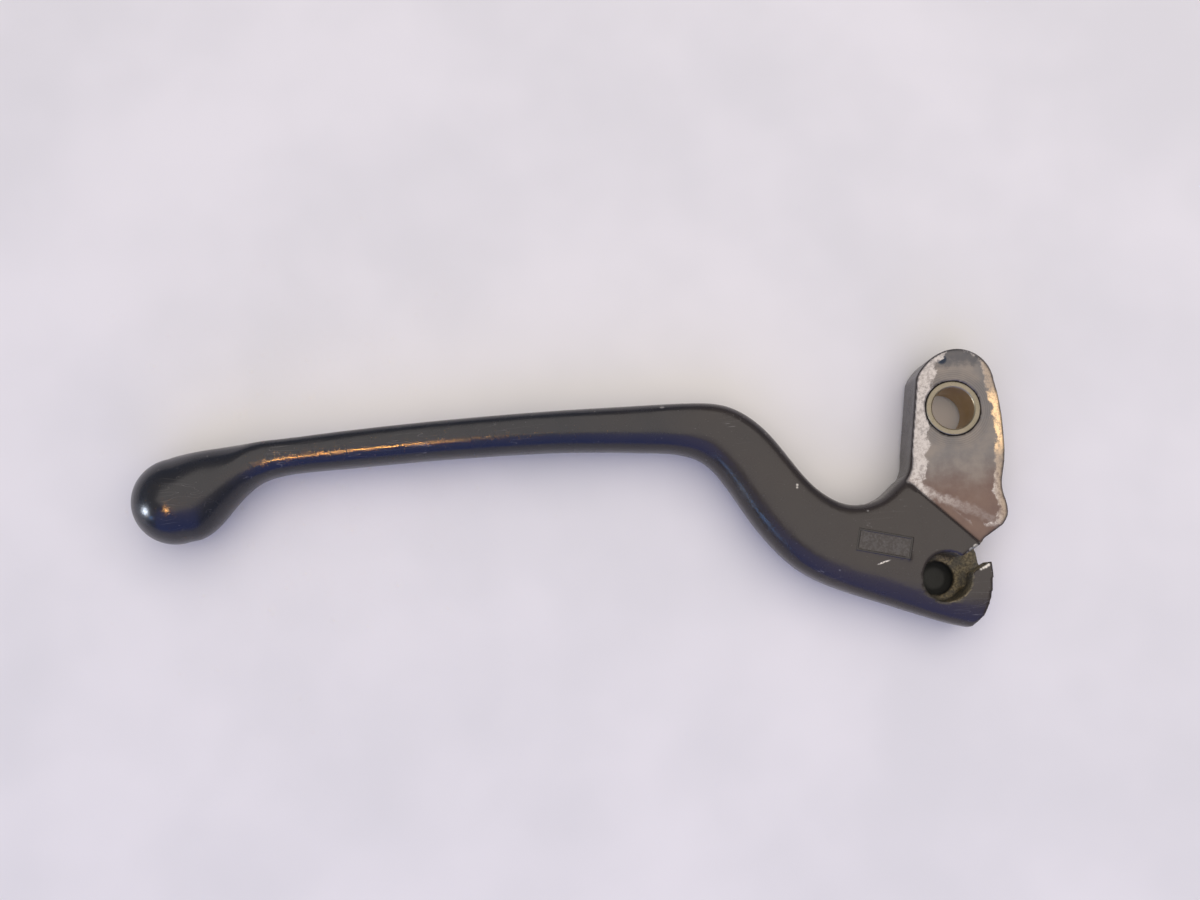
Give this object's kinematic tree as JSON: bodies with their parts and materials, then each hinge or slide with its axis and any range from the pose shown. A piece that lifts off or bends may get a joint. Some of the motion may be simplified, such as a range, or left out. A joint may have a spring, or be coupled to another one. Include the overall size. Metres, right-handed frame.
{
  "type": "motorcycle clutch lever",
  "caption": "Cranked handlebar clutch lever with a ball end, a flat pivot leg carrying a bronze bush, and a slotted seat for the cable nipple.",
  "frame": {"origin": "on the pivot axis, midway through the leg's thickness", "axes": "+X along the blade from the ball to the pivot, +Y towards the handlebar, +Z along the pivot axis, out of the face that the cable nipple drops into"},
  "size_m": [0.209, 0.0663, 0.0208],
  "materials": {
    "coated_aluminium": "satin black coating over cast aluminium, worn to bare metal on the machined leg",
    "bush_bronze": "dull oil-stained sintered bronze"
  },
  "bodies": {
    "bush": {"pivot_bush": "bush_bronze"},
    "lever": {"lever": "coated_aluminium"}
  },
  "joints": [
    {"name": "lever_pull", "type": "hinge", "parent": "bush", "child": "lever", "pos_m": [0, 0, 0], "axis": [0, 0, -1], "range_deg": [0, 22]}
  ]
}
